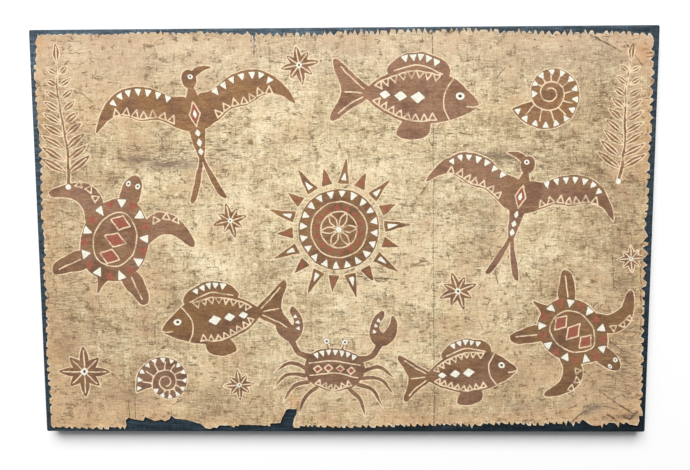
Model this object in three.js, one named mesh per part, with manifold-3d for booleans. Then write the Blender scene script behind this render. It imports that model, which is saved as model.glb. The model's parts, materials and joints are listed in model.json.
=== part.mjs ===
// A bark cloth with a hand-cut toothed edge, laid on a board that is covered in dark woven cloth.
// It lies on its back: X runs along the long side, Y up the picture and Z out of its face.
// The origin is on the surface that it rests on, under the middle of the board. All sizes are in millimetres.

import * as THREE from "three";
import { mergeVertices } from "three/addons/utils/BufferGeometryUtils.js";
import Module from "manifold-3d";

const wasm = await Module();
wasm.setup();

// Covered board
const WIDTH = 910;
const HEIGHT = 600;
const PANEL_THICK = 18;
const COVER_THICK = 1;
const CLEARANCE = 0.3;
const CORNER_ROUND = 3;
const EDGE_ROUND = 2;
const HEM_WIDTH = 35;
const MITRE_SLIT = 1.2;
const MITRE_STOP = 5;
const ROUND_STEPS = 4;

// Bark cloth
const BARK_THICK = 1.2;
const TOP_OF_COVER = 2 * COVER_THICK + PANEL_THICK + 2 * CLEARANCE;
const UNDER_BARK = TOP_OF_COVER + CLEARANCE;
const SEED = 4127;

// Each side is walked from its start corner with the cloth on the left.
// skew: where a tooth's tip stands between its two valleys. blunt, spike and bay: shares of teeth with a flat
// tip, with a thin longer tip, and without a tip.
// margins and depths: from the board's edge to the middle of the teeth, and how deep they are cut, both at
// even steps along the side.
const SIDES = [
  {
    name: "bottom", pitch: 9.4, skew: 0.68, blunt: 0.46, spike: 0.06, bay: 0.05,
    margins: [7.5, 7, 8, 11, 9.5, 10, 12, 14, 15, 15.5],
    depths: [2.4, 3.4, 3, 1.4, 3.2, 4.4, 4.2, 4.8, 5.4, 4.4],
  },
  {
    name: "right", pitch: 14.2, skew: 0.52, blunt: 0.64, spike: 0.03, bay: 0.05,
    margins: [13, 10, 9.5, 11.5, 11.5, 11.5, 10.5, 11, 9.5, 12],
    depths: [5.2, 3.6, 4.6, 6.4, 6.6, 5.4, 5, 4.8, 4.2, 4.6],
  },
  {
    name: "top", pitch: 9.9, skew: 0.5, blunt: 0.52, spike: 0.06, bay: 0.03,
    margins: [14.5, 11.5, 9.5, 7, 8.5, 11.5, 8.5, 7.5, 8, 10],
    depths: [5.2, 5.8, 5.2, 5.6, 5.8, 5.8, 3.2, 3.2, 1.6, 1.6],
  },
  {
    name: "left", pitch: 12.2, skew: 0.5, blunt: 0.6, spike: 0.02, bay: 0.08,
    margins: [13, 9.5, 8.5, 11, 10.5, 10, 10, 9, 9.5, 9.5],
    depths: [3.4, 3, 2.8, 4.6, 3.4, 3.2, 4.2, 4.2, 3.6, 2.8],
  },
];
const PITCH_SPREAD = 0.36;
const DEPTH_SPREAD = 0.45;
const SKEW_SPREAD = 0.16;
const SPIKE_REACH = 2.4;
const NARROW_TIP = 0.14;
const BROAD_TIP = 0.36;
const TOOTH_GAP = 0.12;
const MARGIN_SWAY = 0.9;

// The strip that is missing at the bottom left, from left to right.
const TEAR = [
  { x: -333, y: -294.5 },
  { x: -330.5, y: -289 },
  { x: -331.5, y: -281 },
  { x: -327, y: -276.5 },
  { x: -317, y: -279.5 },
  { x: -304.5, y: -281.5 },
  { x: -301.5, y: -275.5 },
  { x: -287, y: -282.5 },
  { x: -277, y: -280 },
  { x: -271.5, y: -282.5 },
  { x: -264.5, y: -279 },
  { x: -261, y: -273.5 },
  { x: -256, y: -278 },
  { x: -237, y: -281 },
  { x: -225, y: -284.5 },
  { x: -217, y: -287 },
  { x: -209, y: -293 },
  { x: -202, y: -294 },
  { x: -197.5, y: -291.5 },
  { x: -192, y: -292.5 },
  { x: -189.5, y: -289 },
  { x: -173, y: -289 },
  { x: -166.5, y: -292 },
];

// The slanting gap at the bottom edge, from left to right.
const GAP = [
  { x: -111, y: -285.5 },
  { x: -96, y: -284.5 },
  { x: -93.5, y: -277.5 },
  { x: -87, y: -265 },
  { x: -84.5, y: -263 },
  { x: -70, y: -263.5 },
  { x: -72, y: -272 },
  { x: -75.5, y: -279 },
  { x: -77, y: -288 },
  { x: -75, y: -291.5 },
  { x: -67.5, y: -292.5 },
];

// The narrow slit in the top edge, from right to left.
const SLIT = [
  { x: -124, y: 293 },
  { x: -125.6, y: 287 },
  { x: -127, y: 273 },
  { x: -128.2, y: 288 },
];

// The creased bottom right corner, from left to right, and then from its tip up the right side.
const CORNER_FOOT = [
  { x: 360.4, y: -280 },
  { x: 369, y: -286 },
  { x: 375, y: -289 },
  { x: 383, y: -289 },
  { x: 386.5, y: -287.5 },
  { x: 389, y: -292.6 },
  { x: 391, y: -285 },
  { x: 395.7, y: -288 },
  { x: 399, y: -284.2 },
  { x: 408.2, y: -285 },
  { x: 413.6, y: -291.4 },
  { x: 415, y: -283 },
  { x: 421, y: -286.4 },
  { x: 424.4, y: -283.2 },
  { x: 430.1, y: -286.8 },
  { x: 435.8, y: -287.4 },
];
const CORNER_SIDE = [
  { x: 441.5, y: -287 },
  { x: 443.7, y: -281.5 },
  { x: 442.5, y: -272.6 },
  { x: 448.8, y: -273.4 },
  { x: 446.6, y: -262 },
  { x: 444, y: -257.5 },
];

const CUTS = [
  { side: "bottom", axis: "x", points: TEAR },
  { side: "bottom", axis: "x", points: GAP },
  { side: "bottom", axis: "x", points: CORNER_FOOT },
  { side: "right", axis: "y", points: CORNER_SIDE },
  { side: "top", axis: "x", points: SLIT },
];

// Folds and tucks pressed into the cloth: a line, how wide it is and how high it stands.
const CREASES = [
  { x0: 129.5, y0: 300, x1: 136.5, y1: -300, width: 4, height: 0.8 },
  { x0: 352, y0: 287, x1: 428, y1: 248, width: 7, height: 1.1 },
  { x0: 384, y0: 296, x1: 441, y1: 262, width: 6, height: 0.8 },
  { x0: 400, y0: -246, x1: 425, y1: -278, width: 7, height: 1.5 },
  { x0: 425, y0: -278, x1: 447, y1: -262, width: 6, height: 1.2 },
  { x0: 391, y0: -267, x1: 405, y1: -279, width: 5, height: 1 },
  { x0: 346, y0: -281, x1: 362, y1: -262, width: 5, height: 0.9 },
  { x0: 436, y0: -20, x1: 441, y1: -146, width: 6, height: 0.8 },
];

// Corners and torn flaps that stand off the cover.
const FLAPS = [
  { x: -327, y: -280, radius: 20, height: 1.8 },
  { x: -301, y: -278, radius: 12, height: 1 },
  { x: -261, y: -277, radius: 14, height: 1.6 },
  { x: -203, y: -294, radius: 14, height: 0.9 },
  { x: -103, y: -284, radius: 16, height: 1.4 },
  { x: -78, y: -287, radius: 16, height: 1.8 },
  { x: -77, y: -262, radius: 12, height: 0.9 },
  { x: 440, y: -282, radius: 24, height: 1.9 },
  { x: -437, y: 288, radius: 22, height: 1.2 },
  { x: 442, y: 284, radius: 20, height: 1.4 },
];

// Slow unevenness of the laid cloth, and the lift of its cut edge.
const WAVE_HEIGHT = 0.16;
const EDGE_BAND = 13;
const EDGE_LIFT = 1.3;
const EDGE_MARGIN = 7;

// Spacing of the points that carry the relief.
const GRID_STEP = 32;
const FINE_STEP = 14;
const FINE_RIGHT = 372;
const FINE_BOTTOM = -248;
const EDGE_LINES = [EDGE_MARGIN + 8, EDGE_MARGIN + 14];
const FOLD_LINES = [-7, 0, 7];

// A fixed series of numbers from 0 to 1, the same in every run.
function numberSeries(seed) {
  let state = seed;
  return () => {
    state = (state * 16807) % 2147483647;
    return state / 2147483647;
  };
}

function mix(a, b, share) {
  return a + (b - a) * share;
}

function smooth(share) {
  const t = Math.min(Math.max(share, 0), 1);
  return t * t * (3 - 2 * t);
}

// The value at a share of the way along a row of evenly spaced values.
function along(values, share) {
  const place = Math.min(Math.max(share, 0), 1) * (values.length - 1);
  const low = Math.min(Math.floor(place), values.length - 2);
  return mix(values[low], values[low + 1], smooth(place - low));
}

// Where a side starts on the board, which way it runs and how long it is.
function sideFrame(name) {
  const halfWidth = WIDTH / 2;
  const halfHeight = HEIGHT / 2;
  const frames = {
    bottom: { x: -halfWidth, y: -halfHeight, dx: 1, dy: 0, length: WIDTH },
    right: { x: halfWidth, y: -halfHeight, dx: 0, dy: 1, length: HEIGHT },
    top: { x: halfWidth, y: halfHeight, dx: -1, dy: 0, length: WIDTH },
    left: { x: -halfWidth, y: halfHeight, dx: 0, dy: -1, length: HEIGHT },
  };
  return frames[name];
}

// A point at a distance along a side and a distance in from the board's edge.
function sidePoint(frame, distance, inset) {
  return {
    x: frame.x + frame.dx * distance - frame.dy * inset,
    y: frame.y + frame.dy * distance + frame.dx * inset,
  };
}

// One tooth: its valley, then its tip, which may be blunt, end in a spike or be missing.
function toothPoints(frame, side, start, pitch, random) {
  const usual = along(side.depths, start / frame.length);
  const depth = usual * mix(1 - DEPTH_SPREAD, 1 + DEPTH_SPREAD, random());
  const skew = side.skew + mix(-SKEW_SPREAD, SKEW_SPREAD, random());
  const kind = random();
  const sway = (distance) => MARGIN_SWAY * Math.sin(distance / 21 + 1.7 * Math.sin(distance / 57));
  const inset = (distance) => along(side.margins, distance / frame.length) + sway(distance);
  const points = [sidePoint(frame, start, inset(start) + depth / 2)];
  const tip = start + pitch * skew;
  const half = pitch * mix(NARROW_TIP, BROAD_TIP, random());
  const left = Math.max(tip - half, start + pitch * TOOTH_GAP);
  const right = Math.min(tip + half, start + pitch * (1 - TOOTH_GAP));
  if (kind < side.blunt) {
    points.push(sidePoint(frame, left, inset(tip) - depth * 0.38));
    points.push(sidePoint(frame, right, inset(tip) - depth * 0.46));
  } else if (kind < side.blunt + side.bay) {
    points.push(sidePoint(frame, left, inset(tip) + depth * 0.2));
    points.push(sidePoint(frame, right, inset(tip) + depth * 0.05));
  } else if (kind > 1 - side.spike) {
    points.push(sidePoint(frame, tip - pitch * 0.2, inset(tip) - depth * 0.3));
    points.push(sidePoint(frame, tip, inset(tip) - depth / 2 - SPIKE_REACH));
    points.push(sidePoint(frame, tip + pitch * 0.12, inset(tip) - depth * 0.3));
  } else {
    points.push(sidePoint(frame, tip, inset(tip) - depth / 2));
  }
  return points;
}

// All teeth of one side, from its start corner up to its end corner.
function sidePoints(index, random) {
  const side = SIDES[index];
  const before = SIDES[(index + SIDES.length - 1) % SIDES.length];
  const after = SIDES[(index + 1) % SIDES.length];
  const frame = sideFrame(side.name);
  const end = frame.length - after.margins[0];
  const points = [];
  let distance = before.margins.at(-1);
  while (distance < end - side.pitch * 0.5) {
    const pitch = side.pitch * mix(1 - PITCH_SPREAD, 1 + PITCH_SPREAD, random());
    const fitted = distance + pitch > end - side.pitch * 0.5 ? end - distance : pitch;
    points.push(...toothPoints(frame, side, distance, fitted, random));
    distance += fitted;
  }
  return points;
}

// Puts a tear, gap, slit or corner in the place of the teeth that it removes.
function withCut(points, cut) {
  const places = cut.points.map((p) => p[cut.axis]);
  const low = Math.min(...places);
  const high = Math.max(...places);
  const first = points.findIndex((p) => p[cut.axis] > low && p[cut.axis] < high);
  const kept = points.filter((p) => p[cut.axis] <= low || p[cut.axis] >= high);
  const place = first < 0 ? points.findIndex((p) => p[cut.axis] < low) : first;
  return [...kept.slice(0, place), ...cut.points, ...kept.slice(place)];
}

function barkOutline() {
  const random = numberSeries(SEED);
  const outline = [];
  SIDES.forEach((side, index) => {
    let points = sidePoints(index, random);
    for (const cut of CUTS.filter((row) => row.side === side.name)) {
      points = withCut(points, cut);
    }
    outline.push(...points);
  });
  return outline;
}

// How high a crease stands at a point: a soft ridge that fades towards both ends of its line.
function creaseHeight(crease, x, y) {
  const dx = crease.x1 - crease.x0;
  const dy = crease.y1 - crease.y0;
  const length = Math.hypot(dx, dy);
  const share = ((x - crease.x0) * dx + (y - crease.y0) * dy) / (length * length);
  const away = Math.abs((x - crease.x0) * dy - (y - crease.y0) * dx) / length;
  const ends = smooth(share / 0.15) * smooth((1 - share) / 0.15);
  return crease.height * ends * Math.exp(-((away / crease.width) ** 2));
}

function flapHeight(flap, x, y) {
  const away = Math.hypot(x - flap.x, y - flap.y) / flap.radius;
  return flap.height * Math.exp(-(away ** 2));
}

function edgeHeight(x, y) {
  const inside = Math.min(WIDTH / 2 - Math.abs(x), HEIGHT / 2 - Math.abs(y)) - EDGE_MARGIN;
  const curl = Math.max(1 - Math.max(inside, 0) / EDGE_BAND, 0) ** 2;
  const uneven = 0.55 + 0.45 * Math.sin(x / 17 + 1.3 * Math.sin(y / 23)) * Math.cos(y / 19 - x / 61);
  return EDGE_LIFT * curl * uneven;
}

// Height of the cloth's underside above its seat on the cover.
function barkHeight(x, y) {
  const waves = 2 + Math.sin(x / 57 + y / 140) + Math.sin(y / 43 - x / 190 + 1);
  let height = WAVE_HEIGHT * waves + edgeHeight(x, y);
  for (const crease of CREASES) {
    height += creaseHeight(crease, x, y);
  }
  for (const flap of FLAPS) {
    height += flapHeight(flap, x, y);
  }
  return height;
}

// Grid lines: even steps, closer beyond the given line on one side, with lines of their own near the edges.
function gridLines(half, isFine) {
  const first = -half + EDGE_LINES.at(-1);
  const last = half - EDGE_LINES.at(-1);
  const lines = [-half, half];
  for (const inset of EDGE_LINES) {
    lines.push(-half + inset, half - inset);
  }
  let place = first;
  while (place < last - FINE_STEP) {
    place += isFine(place) ? FINE_STEP : GRID_STEP;
    if (place < last - FINE_STEP / 2) {
      lines.push(place);
    }
  }
  return lines.sort((a, b) => a - b);
}

// The long fold gets grid lines of its own, which lean as it does, in the place of those beside it.
function columnLines() {
  const fold = CREASES[0];
  const middle = (fold.x0 + fold.x1) / 2;
  const reach = Math.max(...FOLD_LINES);
  const lines = gridLines(WIDTH / 2, (x) => x > FINE_RIGHT).filter((x) => Math.abs(x - middle) > reach * 2);
  lines.push(...FOLD_LINES.map((offset) => middle + offset));
  const lean = (fold.x1 - fold.x0) / (fold.y1 - fold.y0);
  return lines
    .sort((a, b) => a - b)
    .map((x) => ({ x, lean: Math.abs(x - middle) <= reach ? lean : 0 }));
}

// A closed slab whose two faces both follow the relief, larger than the cut cloth.
function reliefSlab() {
  const columns = columnLines();
  const rows = gridLines(HEIGHT / 2, (y) => y < FINE_BOTTOM);
  const across = columns.length;
  const layer = across * rows.length;
  const positions = [];
  for (const lift of [0, BARK_THICK]) {
    for (const y of rows) {
      for (const column of columns) {
        const x = column.x + column.lean * y;
        positions.push(x, y, UNDER_BARK + barkHeight(x, y) + lift);
      }
    }
  }
  const faces = [];
  const quad = (a, b, c, d) => faces.push(a, b, c, a, c, d);
  for (let row = 0; row < rows.length - 1; row += 1) {
    for (let column = 0; column < across - 1; column += 1) {
      const corner = row * across + column;
      quad(corner + across, corner + across + 1, corner + 1, corner);
      quad(layer + corner, layer + corner + 1, layer + corner + across + 1, layer + corner + across);
    }
  }
  const wall = (a, b) => quad(a, b, layer + b, layer + a);
  const lastRow = (rows.length - 1) * across;
  for (let column = 0; column < across - 1; column += 1) {
    wall(column, column + 1);
    wall(lastRow + column + 1, lastRow + column);
  }
  for (let row = 0; row < rows.length - 1; row += 1) {
    wall((row + 1) * across, row * across);
    wall(row * across + across - 1, (row + 1) * across + across - 1);
  }
  const geometry = new THREE.BufferGeometry();
  geometry.setAttribute("position", new THREE.Float32BufferAttribute(positions, 3));
  geometry.setIndex(faces);
  return geometry;
}

// An upright block with the given outline, from one height to another.
function outlineBlock(outline, low, high) {
  const shape = new THREE.Shape(outline.map((p) => new THREE.Vector2(p.x, p.y)));
  const geometry = new THREE.ExtrudeGeometry(shape, { depth: high - low, bevelEnabled: false });
  return geometry.translate(0, 0, low);
}

// A flat block with rounded corners and rounded edges all round.
function roundedSlab(width, height, low, high, cornerRound, edgeRound) {
  const x = width / 2 - edgeRound;
  const y = height / 2 - edgeRound;
  const r = cornerRound - edgeRound;
  const shape = new THREE.Shape();
  shape.absarc(x - r, y - r, r, 0, Math.PI / 2);
  shape.absarc(-x + r, y - r, r, Math.PI / 2, Math.PI);
  shape.absarc(-x + r, -y + r, r, Math.PI, 1.5 * Math.PI);
  shape.absarc(x - r, -y + r, r, 1.5 * Math.PI, 2 * Math.PI);
  const geometry = new THREE.ExtrudeGeometry(shape, {
    depth: high - low - 2 * edgeRound,
    bevelEnabled: true,
    bevelSize: edgeRound,
    bevelThickness: edgeRound,
    bevelSegments: ROUND_STEPS,
    curveSegments: ROUND_STEPS,
  });
  return geometry.translate(0, 0, low + edgeRound);
}

function plainBox(width, height, low, high) {
  return new THREE.BoxGeometry(width, height, high - low).translate(0, 0, (low + high) / 2);
}

// Turns a closed mesh into a solid that can be cut and joined.
function solidOf(geometry) {
  const bare = geometry.clone();
  bare.deleteAttribute("normal");
  bare.deleteAttribute("uv");
  const merged = mergeVertices(bare, 1e-3);
  return new wasm.Manifold(
    new wasm.Mesh({
      numProp: 3,
      vertProperties: new Float32Array(merged.attributes.position.array),
      triVerts: new Uint32Array(merged.index.array),
    }),
  );
}

function geometryOf(solid) {
  const mesh = solid.getMesh();
  const geometry = new THREE.BufferGeometry();
  geometry.setAttribute("position", new THREE.Float32BufferAttribute(mesh.vertProperties, 3));
  geometry.setIndex([...mesh.triVerts]);
  geometry.computeVertexNormals();
  return geometry;
}

// Rigid panel inside the cover
function panelGeometry() {
  const inset = COVER_THICK + CLEARANCE;
  return roundedSlab(
    WIDTH - 2 * inset,
    HEIGHT - 2 * inset,
    inset,
    inset + PANEL_THICK,
    CORNER_ROUND - COVER_THICK,
    EDGE_ROUND - COVER_THICK,
  );
}

// One of the four cuts that let the hem fold flat at a corner of the back
function mitreSlit(signX, signY) {
  const reach = HEM_WIDTH - MITRE_STOP;
  const length = reach * Math.SQRT2;
  const slit = plainBox(length, MITRE_SLIT, -COVER_THICK, 2 * COVER_THICK);
  slit.rotateZ((signX * signY * Math.PI) / 4);
  const x = signX * (WIDTH / 2 - HEM_WIDTH + reach / 2);
  const y = signY * (HEIGHT / 2 - HEM_WIDTH + reach / 2);
  return slit.translate(x, y, 0);
}

// Dark cloth pulled over the face and sides and turned under as a hem
function coverGeometry() {
  const hollow = roundedSlab(
    WIDTH - 2 * COVER_THICK,
    HEIGHT - 2 * COVER_THICK,
    COVER_THICK,
    TOP_OF_COVER - COVER_THICK,
    CORNER_ROUND - COVER_THICK,
    EDGE_ROUND - COVER_THICK,
  );
  const opening = plainBox(WIDTH - 2 * HEM_WIDTH, HEIGHT - 2 * HEM_WIDTH, -COVER_THICK, 2 * COVER_THICK);
  let solid = solidOf(roundedSlab(WIDTH, HEIGHT, 0, TOP_OF_COVER, CORNER_ROUND, EDGE_ROUND));
  solid = solid.subtract(solidOf(hollow));
  solid = solid.subtract(solidOf(opening));
  for (const signX of [-1, 1]) {
    for (const signY of [-1, 1]) {
      solid = solid.subtract(solidOf(mitreSlit(signX, signY)));
    }
  }
  return geometryOf(solid);
}

// Bark cloth: the relief slab cut to the toothed outline
function barkGeometry() {
  const block = outlineBlock(barkOutline(), UNDER_BARK - 1, UNDER_BARK + 12);
  return geometryOf(solidOf(reliefSlab()).intersect(solidOf(block)));
}

function namedMesh(name, geometry, material) {
  const mesh = new THREE.Mesh(geometry, new THREE.MeshStandardMaterial(material));
  mesh.name = name;
  return mesh;
}

const group = new THREE.Group();
group.add(namedMesh("board", panelGeometry(), { color: 0xc8a878, roughness: 0.75, metalness: 0 }));
group.add(namedMesh("cover_cloth", coverGeometry(), { color: 0x1e3038, roughness: 0.95, metalness: 0 }));
group.add(namedMesh("tapa_cloth", barkGeometry(), { color: 0xc9ab7e, roughness: 0.9, metalness: 0 }));

export default group;
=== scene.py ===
# A bark cloth with a hand-cut toothed edge, laid on a board that is covered in dark woven cloth.
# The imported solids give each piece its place. This script makes the cloths' fine forms, their paint and
# materials, and a pale floor, one light and the camera. Sizes are in millimetres until a mesh is made.

import json
import math

import bpy
import numpy as np
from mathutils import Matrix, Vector
from mathutils.geometry import delaunay_2d_cdt

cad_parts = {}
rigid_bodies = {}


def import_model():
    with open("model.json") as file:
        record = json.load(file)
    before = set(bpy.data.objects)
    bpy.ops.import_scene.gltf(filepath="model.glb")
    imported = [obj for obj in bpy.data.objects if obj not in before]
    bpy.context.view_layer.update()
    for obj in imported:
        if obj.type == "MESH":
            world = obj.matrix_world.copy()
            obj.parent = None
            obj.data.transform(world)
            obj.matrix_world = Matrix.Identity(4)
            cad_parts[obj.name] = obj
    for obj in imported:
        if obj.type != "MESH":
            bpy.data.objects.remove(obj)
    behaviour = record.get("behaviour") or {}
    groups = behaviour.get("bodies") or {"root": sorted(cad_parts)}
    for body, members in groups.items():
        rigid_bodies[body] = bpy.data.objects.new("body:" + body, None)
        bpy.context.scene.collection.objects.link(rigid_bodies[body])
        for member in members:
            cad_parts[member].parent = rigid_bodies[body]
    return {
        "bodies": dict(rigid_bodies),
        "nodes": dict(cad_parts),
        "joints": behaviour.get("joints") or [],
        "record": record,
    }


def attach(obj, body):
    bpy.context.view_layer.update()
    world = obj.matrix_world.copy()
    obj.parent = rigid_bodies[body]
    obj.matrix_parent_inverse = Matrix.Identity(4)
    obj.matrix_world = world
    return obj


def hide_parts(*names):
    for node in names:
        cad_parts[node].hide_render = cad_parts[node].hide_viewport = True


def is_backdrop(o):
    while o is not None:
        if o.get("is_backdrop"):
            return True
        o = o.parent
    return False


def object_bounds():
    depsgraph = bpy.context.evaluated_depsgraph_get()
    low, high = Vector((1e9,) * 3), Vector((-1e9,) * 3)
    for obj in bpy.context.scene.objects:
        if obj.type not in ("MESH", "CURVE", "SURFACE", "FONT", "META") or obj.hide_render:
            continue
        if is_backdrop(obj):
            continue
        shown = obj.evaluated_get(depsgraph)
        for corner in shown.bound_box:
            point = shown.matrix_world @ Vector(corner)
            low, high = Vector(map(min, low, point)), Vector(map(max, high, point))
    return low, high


MM = 0.001

# Covered board
WIDTH = 910.0
HEIGHT = 600.0
PANEL_THICK = 18.0
COVER_THICK = 1.0
CLEARANCE = 0.3
CORNER_ROUND = 3.0
EDGE_ROUND = 2.0
HEM_WIDTH = 35.0
HEM_FOLD = 0.6
SIDE_PULL = 0.22
TOP_OF_COVER = 2 * COVER_THICK + PANEL_THICK + 2 * CLEARANCE
QUARTER = [math.radians(90 * step / 4) for step in range(5)]

# Bark cloth
BARK_THICK = 1.2
UNDER_BARK = TOP_OF_COVER + CLEARANCE
SEED = 4127

# Each side is walked from its start corner with the cloth on the left, as on the solid.
SIDES = [
    dict(
        name="bottom", pitch=9.4, skew=0.68, blunt=0.46, spike=0.06, bay=0.05,
        margins=[7.5, 7, 8, 11, 9.5, 10, 12, 14, 15, 15.5],
        depths=[2.4, 3.4, 3, 1.4, 3.2, 4.4, 4.2, 4.8, 5.4, 4.4],
    ),
    dict(
        name="right", pitch=14.2, skew=0.52, blunt=0.64, spike=0.03, bay=0.05,
        margins=[13, 10, 9.5, 11.5, 11.5, 11.5, 10.5, 11, 9.5, 12],
        depths=[5.2, 3.6, 4.6, 6.4, 6.6, 5.4, 5, 4.8, 4.2, 4.6],
    ),
    dict(
        name="top", pitch=9.9, skew=0.5, blunt=0.52, spike=0.06, bay=0.03,
        margins=[14.5, 11.5, 9.5, 7, 8.5, 11.5, 8.5, 7.5, 8, 10],
        depths=[5.2, 5.8, 5.2, 5.6, 5.8, 5.8, 3.2, 3.2, 1.6, 1.6],
    ),
    dict(
        name="left", pitch=12.2, skew=0.5, blunt=0.6, spike=0.02, bay=0.08,
        margins=[13, 9.5, 8.5, 11, 10.5, 10, 10, 9, 9.5, 9.5],
        depths=[3.4, 3, 2.8, 4.6, 3.4, 3.2, 4.2, 4.2, 3.6, 2.8],
    ),
]
PITCH_SPREAD = 0.36
DEPTH_SPREAD = 0.45
SKEW_SPREAD = 0.16
SPIKE_REACH = 2.4
NARROW_TIP = 0.14
BROAD_TIP = 0.36
TOOTH_GAP = 0.12
MARGIN_SWAY = 0.9

# The missing strip, the slanting gap and the slit: x and y along the cut
TEAR = [
    (-333, -294.5), (-330.5, -289), (-331.5, -281), (-327, -276.5), (-317, -279.5), (-304.5, -281.5),
    (-301.5, -275.5), (-287, -282.5), (-277, -280), (-271.5, -282.5), (-264.5, -279), (-261, -273.5),
    (-256, -278), (-237, -281), (-225, -284.5), (-217, -287), (-209, -293), (-202, -294),
    (-197.5, -291.5), (-192, -292.5), (-189.5, -289), (-173, -289), (-166.5, -292),
]
GAP = [
    (-111, -285.5), (-96, -284.5), (-93.5, -277.5), (-87, -265), (-84.5, -263), (-70, -263.5),
    (-72, -272), (-75.5, -279), (-77, -288), (-75, -291.5), (-67.5, -292.5),
]
SLIT = [(-124, 293), (-125.6, 287), (-127, 273), (-128.2, 288)]

# The creased bottom right corner
CORNER_FOOT = [
    (360.4, -280), (369, -286), (375, -289), (383, -289), (386.5, -287.5), (389, -292.6), (391, -285),
    (395.7, -288), (399, -284.2), (408.2, -285), (413.6, -291.4), (415, -283), (421, -286.4),
    (424.4, -283.2), (430.1, -286.8), (435.8, -287.4),
]
CORNER_SIDE = [(441.5, -287), (443.7, -281.5), (442.5, -272.6), (448.8, -273.4), (446.6, -262), (444, -257.5)]

# The side that each cut is in, and the axis that it runs along
CUTS = [
    ("bottom", 0, TEAR),
    ("bottom", 0, GAP),
    ("bottom", 0, CORNER_FOOT),
    ("right", 1, CORNER_SIDE),
    ("top", 0, SLIT),
]

# Folds and tucks: both ends of the line, its width and its height
CREASES = [
    (129.5, 300, 136.5, -300, 4, 0.8),
    (352, 287, 428, 248, 7, 1.1),
    (384, 296, 441, 262, 6, 0.8),
    (400, -246, 425, -278, 7, 1.5),
    (425, -278, 447, -262, 6, 1.2),
    (391, -267, 405, -279, 5, 1.0),
    (346, -281, 362, -262, 5, 0.9),
    (436, -20, 441, -146, 6, 0.8),
]

# Finer wrinkles that only show close by, in the same columns, some with their dark crack's width
WRINKLES = [
    (21, -63, 79, -68, 2.2, -0.35),
    (216, -19, 229, -73, 2.0, 0.4, 0.9),
    (270, -57, 281, -72, 2.0, -0.3, 1.1),
    (126, 217, 199, 181, 2.5, 0.45, 0.8),
    (365, 262, 408, 240, 2.2, 0.4),
    (372, 288, 398, 268, 2.0, -0.35),
    (404, 276, 432, 240, 2.4, 0.4),
    (408, -214, 441, -250, 2.6, 0.6),
    (372, -238, 402, -252, 2.2, 0.45),
    (412, -262, 432, -286, 2.2, -0.45),
    (330, -252, 352, -246, 2.0, 0.35),
    (395, -30, 402, -88, 2.2, 0.4, 0.9),
    (384, -152, 419, -176, 2.4, 0.45, 1.0),
    (-316, -246, -316, -277, 1.8, -0.3, 0.9),
    (-325, -250, -326, -276, 1.8, 0.3, 0.7),
    (-127, 288, -128, 262, 2.0, 0.4),
    (-92, -255, -70, -238, 3.0, 0.5),
]

# Corners and torn flaps that stand off: place, radius and height
FLAPS = [
    (-327, -280, 20, 1.8),
    (-301, -278, 12, 1.0),
    (-261, -277, 14, 1.6),
    (-203, -294, 14, 0.9),
    (-103, -284, 16, 1.4),
    (-78, -287, 16, 1.8),
    (-77, -262, 12, 0.9),
    (440, -282, 24, 1.9),
    (-437, 288, 22, 1.2),
    (442, 284, 20, 1.4),
]

# Height of the waves, lifting edge, and size and start of the table of random hills
WAVE_HEIGHT = 0.16
EDGE_BAND = 13.0
EDGE_LIFT = 1.3
EDGE_MARGIN = 7.0
NOISE_CELLS = 256
NOISE_START = 1000

# Mesh density of the bark cloth
FINE_STEP = 1.8
RAG_STEP = 1.7
RAG = 0.22
PAINT_NEAR = 2.3
FAR = 9.0
RIM_BAND = 24.0
RIM_SPARE = 0.9
LINE_SPARE = 0.75
UNDER_STEP = 12.0
UNDER_COUNTS = (36, 23)
UNDER_SPARE = 4.0
THINNEST = 0.45

# Boxes round the torn strip and the slit: left, right, bottom and top
INLETS = [(-345, -55, -300, -235), (-139, -115, 250, 300)]

# Mesh of the cover: steps of its sides, face and back, and heights and insets of its loops
SIDE_STEP = 6.0
FACE_STEP = 5.0
BACK_STEP = 40.0
FACE_BORDER = 45.0
CAP_SPARE = 3.5
SIDE_HEIGHTS = (15.0, 11.0, 7.0, 4.0)
HEM_INSETS = (6.0, 12.0, 20.0, 28.0)

# Painted motifs: width of the cream lines, and the painter's small errors
STROKE_WIDTH = 1.7
HAND_WOBBLE = 0.8
HAND_STEP = 3.0
TONE_REACH = 5.0

# Other dark cracks and creased lines: ends and width
CRACKS = [
    (21, -62, 79, -67, 1.5),
    (30, -66, 62, -70, 0.9),
    (130, 296, 130.5, 246, 1.3),
    (130.5, 244, 136, -240, 0.5),
    (136, -242, 136.5, -292, 1.2),
    (356, 285, 398, 263, 1.3),
    (404, 276, 430, 243, 0.8),
    (437, -25, 442, -144, 0.8),
    (417, -273, 428, -279, 3.0),
    (428, -279, 440, -267, 2.4),
    (346, -281, 355, -272, 1.4),
    (390, -240, 409, -254, 1.8),
    (409, -254, 435, -270, 2.2),
    (396, -272, 407, -278, 3.0),
    (390, -260, 412, -263, 0.9),
    (354, -273, 366, -267, 1.2),
    (-127, 273, -128.5, 258, 1.2),
]
CRACK_STEP = 1.8
CRACK_WANDER = 0.9

# Hair-thin scratches at places from a seed: count, reach from the middle, width and length
SCRATCHES = 90
SCRATCH_PLACES = (425, 272)
SCRATCH_WIDTH = 0.45
SCRATCH_LENGTHS = (5, 26)
SCRATCH_SLANT = 1.2

# Scuffed and stained places: x, y, reach across, reach up, strength
SCUFFS = [
    (-258, 119, 66, 20, 0.9),
    (232, 112, 108, 14, 0.9),
    (79, 200, 40, 16, 0.6),
    (-190, 128, 40, 12, 0.7),
    (90, 30, 60, 18, 0.35),
    (-390, 60, 40, 60, 0.3),
    (420, -195, 34, 80, 0.75),
    (424, -40, 26, 90, 0.55),
    (206, 10, 26, 70, 0.5),
    (-420, -115, 30, 90, 0.6),
    (-20, -40, 70, 18, 0.3),
    (330, 130, 60, 30, 0.35),
    (-360, -160, 60, 26, 0.35),
]

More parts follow.
